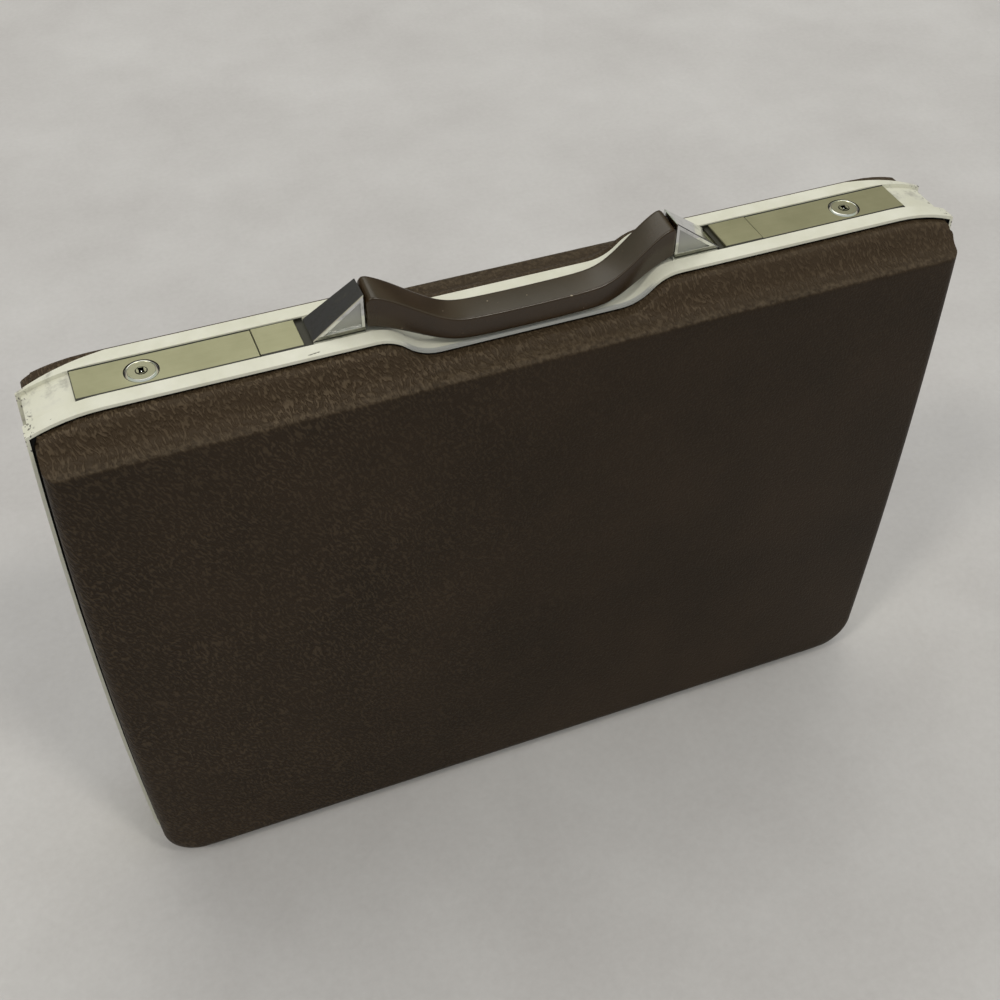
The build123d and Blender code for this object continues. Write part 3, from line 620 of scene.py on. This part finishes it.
plug_round = (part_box("key_plug_right")[1].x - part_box("key_plug_right")[0].x) / 2
rim_profile = [(lock_round, -0.0017), (lock_round, -0.0007), (lock_round - 0.0008, -0.00008),
               (lock_round - 0.0010, -0.00003), (lock_round - 0.0012, -0.00008),
               (lock_round - 0.0014, -0.0003), (plug_round + 0.0004, -0.0003),
               (plug_round + 0.00005, -0.0009)]


def lock_part(offset):
    """1 for the polished rim, 2 for the wall below it and round the plug, which take the near-black painted
    shade, 0 for the rest.
    """
    away = hypot(offset.x, offset.y)
    if away < plug_round + 0.0003 or (offset.z < -0.0008 and away > plug_round + 0.001):
        return 2
    return 1 if away > lock_round - 0.0013 else 0


def key_plug(side, centre):
    """A short cylinder with a double-ended keyhole cut through its face, a well in near-black painted shade
    and a centre pin.
    """
    outline = bpy.data.curves.new("key_plug", "CURVE")
    outline.dimensions = "2D"
    outline.fill_mode = "BOTH"
    outline.extrude = 0.0004
    wide, narrow, ends, waist = 0.0013, 0.0011, plug_round - 0.0005, 0.0007
    half = [(wide, ends), (wide, waist), (narrow, waist), (narrow, -waist), (wide, -waist), (wide, -ends)]
    hole = half + [(-x, y) for x, y in reversed(half)]
    edge = plug_round - 0.0001
    ring = [(edge * cos(2 * pi * i / 48), edge * sin(2 * pi * i / 48)) for i in range(48)]
    for loop in (ring, hole):
        spline = outline.splines.new("POLY")
        spline.points.add(len(loop) - 1)
        spline.use_cyclic_u = True
        for point, (x, y) in zip(spline.points, loop):
            point.co = (x, y, 0, 1)
    shape = bpy.data.objects.new("key_plug_outline", outline)
    mesh = bpy.data.meshes.new_from_object(shape)
    bpy.data.objects.remove(shape)
    points = [centre + vertex.co - Vector((0, 0, 0.0005)) for vertex in mesh.vertices]
    face = mesh_object("keyhole_" + side, points, [tuple(f.vertices) for f in mesh.polygons], [nickel])
    well = turned("keyhole_well_" + side, centre - Vector((0, 0, 0.0009)),
                  [(plug_round, -0.002), (plug_round, 0), (0.0003, 0)], [gap_shade_black])
    pin_profile = [(0.0004, -0.001), (0.0004, -0.0006), (0.00025, -0.00045), (0.0001, -0.0004)]
    pin = turned("keyhole_pin_" + side, centre, pin_profile, [chrome], around=24)
    return [face, well, pin]


for side, way in (("left", -1), ("right", 1)):
    centre = Vector((way * lock_x, lock_y, lock_high.z))
    face = turned("lock_rim_" + side, centre, rim_profile, [nickel, chrome, gap_shade_black], lock_part)
    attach(face, "base")
    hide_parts("lock_face_" + side)
    pieces = key_plug(side, centre)
    for piece in pieces:
        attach(piece, "key_" + side)
    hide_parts("key_plug_" + side)


# Handle brackets: chromed zinc wedges riveted into the channel, each with a mirror slope and a
# recessed brushed panel on its front. Years of handling have left smudges on the slopes.
def smudged_chrome():
    """Bright chrome with cloudy smudges that take some of its shine."""
    made, tree, shader, place = material("smudged_chrome", 0.1, 1.0)
    smudge = fade(tree, noise(tree, place, 260.0, 5.0, 0.65, (1, 1, 0.6)), 0.45, 0.75)
    tree.links.new(mixed(tree, smudge, "#dcdddc", "#a8a9a6"), shader.inputs["Base Color"])
    tree.links.new(calc(tree, "MULTIPLY_ADD", smudge, 0.16, 0.06), shader.inputs["Roughness"])
    return made


bracket_chrome = smudged_chrome()
recess_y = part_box("handle_bracket_right")[0].y + 0.0006


def bracket_part(centre, normal):
    """1 for the recessed panel, else 0."""
    return int(abs(normal.y) > 0.95 and recess_y < centre.y < recess_y + 0.001)


for side in ("left", "right"):
    dress("handle_bracket_" + side, bracket_chrome, brushed_chrome, choose=bracket_part, round_edges=0.00025)


# Handle: a bail moulded in brown ABS, five-sided with rounded ridges. It turns on a pin at each
# end and lies folded forward over the front lip. Its front facet is bare.
def satin_abs():
    """Satin brown ABS with a slight sheen, faint handling marks and a few pale specks."""
    made, tree, shader, place = material("satin_abs", 0.27)
    base = ramp(tree, noise(tree, place, 40.0, 4.0, 0.6), [(0.3, "#291d0e"), (0.7, "#332514")])
    specks = fade(tree, noise(tree, place, 420.0, 1.0, 0.3), 0.80, 0.82)
    base = mixed(tree, calc(tree, "MULTIPLY", specks, 0.7), base, "#a89880")
    tree.links.new(base, shader.inputs["Base Color"])
    relief(tree, shader, noise(tree, place, 120.0, 3.0), 0.0002, 0.35)
    return made


pivot = Vector((0, -0.0055, 0.3352))
grip_from = Vector((0, -0.0230, 0.3128))
grip_corners = ((0.0, 1.0), (0.4, 11.8), (16.0, 12.6), (15.4, 4.2), (8.0, 0.0))
end_corners = ((-7.2, -9.9), (-8.0, 7.0), (8.0, 9.3), (7.5, -7.6), (-0.5, -11.2))
corner_rounds = (1.6, 1.3, 2.2, 2.0, 2.6)
end_hump = 0.0055
end_start = 0.0709


def rise(x):
    """How far a section has gone from the grip, 0, to the pivot, 1, with a smooth bend between."""
    grip_half, bend_length = 36, 38.5
    run = (x - grip_half) / bend_length
    run = (run + sqrt(run * run + 0.05)) / 2
    return min(0.55 * run + 0.45 * run * run * (3 - 2 * run), 1.0)


def handle_section(x, share):
    """The five-sided section at x millimetres with rounded corners, as points in metres.

    Past end_start its upper part comes down in a round hump.
    """
    amount = rise(abs(x))
    corners = []
    for low, high in zip(grip_corners, end_corners):
        start = grip_from + Vector((0, low[0], low[1])) / 1000
        stop = pivot + Vector((0, high[0], high[1])) / 1000
        corners.append(start.lerp(stop, amount))
    middle = sum(corners, Vector()) / 5
    top = max(corner.z for corner in corners)
    points = []
    for i, corner in enumerate(corners):
        before = (corners[i - 1] - corner).normalized()
        after = (corners[(i + 1) % 5] - corner).normalized()
        reach = corner_rounds[i] / 1000
        for step in range(7):
            t = step / 6
            start, stop = corner + before * reach, corner + after * reach
            points.append((1 - t) ** 2 * start + 2 * t * (1 - t) * corner + t * t * stop)
    placed = []
    for point in points:
        point = middle.lerp(point, share)
        over = abs(x) / 1000 - end_start
        if over > 0 and point.z > middle.z:
            drop = end_hump - sqrt(max(end_hump ** 2 - over ** 2, 0))
            point.z -= drop * (point.z - middle.z) / (top - middle.z)
        placed.append(Vector((x / 1000, point.y, point.z)))
    return placed


end_rounding = ((75.9, 0.86), (75.75, 0.93), (75.3, 0.97), (74.6, 0.99), (73.6, 1.0))
straight = 73
stations = [(-x, share) for x, share in end_rounding]
stations += [(-straight + 2 * straight * i / 112, 1.0) for i in range(113)]
stations += [(x, share) for x, share in reversed(end_rounding)]
points = [point for x, share in stations for point in handle_section(x, share)]
handle = mesh_object("handle", points, rings_to_faces(len(stations), 35), [satin_abs()], radians(50))
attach(handle, "handle")
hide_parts("handle_grip")


# Hinges, stays, bolts, catches, lock cases and rivets: plated steel and aluminium.
steel_nodes = ("hinge_leaf", "hinge_pins", "stay", "latch_bolt", "catch", "lock_case", "handle_pin")
steel = plated("zinc_plated_steel", "#a6a49c", 0.35, 0.00003)
spring_steel = plated("spring_steel", "#7d7c78", 0.3)
aluminium = plated("rivet_aluminium", "#c2c1bc", 0.3)
for node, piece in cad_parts.items():
    if node.startswith(steel_nodes):
        dress(node, steel, round_edges=0.00015 if node.startswith(("stay", "catch")) else 0)
    if node.startswith("latch_spring"):
        dress(node, spring_steel)
    if "rivets" in node or node.startswith("feet"):
        dress(node, aluminium, round_edges=0.0002)


# Linings: trays covered in plain-woven cloth in both halves.
def lining_cloth(name, dark, light):
    """Plain-woven cloth, drawn at 5 threads to the centimetre so that the weave shows."""
    made, tree, shader, place = material(name, 0.85)
    weft, warp = [add(tree, "TexWave", {"wave_type": "BANDS", "bands_direction": way, "Scale": 80.0,
                                        "Distortion": 0.6, "Detail": 1.0}, {"Vector": place}).outputs["Fac"]
                  for way in ("X", "Z")]
    weave = calc(tree, "MAXIMUM", weft, warp)
    faded = noise(tree, place, 25.0, 4.0, 0.6)
    tone = calc(tree, "MULTIPLY_ADD", weave, 0.4, faded)
    tree.links.new(ramp(tree, tone, [(0.5, dark), (1.0, light)]), shader.inputs["Base Color"])
    shader.inputs["Sheen Weight"].default_value = 0.2
    relief(tree, shader, weave, 0.0002, 0.6)
    return made


cloth = lining_cloth("lining_cloth", "#5f4f3a", "#7c6b53")
for half in ("lid", "base"):
    dress(half + "_lining", cloth)


# Document pocket: one cut of softer cloth on the lid's lining. Its sides and foot are tucked in
# and stitched, and elastic in the top hem gathers it.
pocket_low = Vector([min(a, b) for a, b in zip(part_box("document_pocket")[0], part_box("pocket_gusset")[0])])
pocket_high = Vector([max(a, b) for a, b in zip(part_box("document_pocket")[1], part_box("pocket_gusset")[1])])
pocket_size = pocket_high - pocket_low
cloth_thick = 0.0008
hem_round = 0.0013
pocket_cloth = lining_cloth("pocket_cloth", "#6a5943", "#8a785f")


def pocket_front(u, v):
    """A point on the pocket's front for u across and v up, both from 0 to 1."""
    side = min(u, 1 - u) * pocket_size.x
    foot = v * pocket_size.z
    swell = (1 - (1 - min(side / 0.022, 1)) ** 3) * (1 - (1 - min(foot / 0.030, 1)) ** 3)
    gather = max(0, 1 - (1 - v) * pocket_size.z / 0.085) ** 1.5
    waves = 0.5 + 0.30 * sin(2 * pi * u * 31 + 0.8 * sin(7 * u)) + 0.20 * sin(2 * pi * u * 17 + 2.0)
    slack = 0.05 * sin(5 * pi * u) * sin(pi * v)
    lift = swell * (0.78 + slack + gather * 0.20 * (waves - 0.5) * 2)
    sag = 0.006 * sin(pi * u) ** 2 * v
    reach = pocket_size.y - 2 * hem_round
    return Vector((pocket_low.x + u * pocket_size.x, pocket_low.y + cloth_thick + lift * reach,
                   pocket_low.z + v * (pocket_size.z - 2 * hem_round) - sag))


wide, tall = 260, 70
points = [pocket_front(i / wide, (j / tall) ** 0.8) for j in range(tall + 1) for i in range(wide + 1)]
pocket = mesh_object("pocket", points, grid_faces(tall + 1, wide + 1), [pocket_cloth], pi)
ply = pocket.modifiers.new("ply", "SOLIDIFY")
ply.thickness = cloth_thick
ply.offset = 0
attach(pocket, "lid")
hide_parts("document_pocket", "pocket_gusset")


def tube(name, route, radius, made):
    """A round tube along a list of points."""
    line = bpy.data.curves.new(name, "CURVE")
    line.dimensions = "3D"
    line.bevel_depth = radius
    line.bevel_resolution = 3
    line.use_fill_caps = True
    spline = line.splines.new("POLY")
    spline.points.add(len(route) - 1)
    for point, place in zip(spline.points, route):
        point.co = (*place, 1)
    line.materials.append(made)
    piece = bpy.data.objects.new(name, line)
    bpy.context.scene.collection.objects.link(piece)
    return piece


hem_line = [pocket_front(0.004 + 0.992 * i / 400, 1.0) for i in range(401)]
hem = tube("pocket_hem", hem_line, hem_round, pocket_cloth)
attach(hem, "lid")
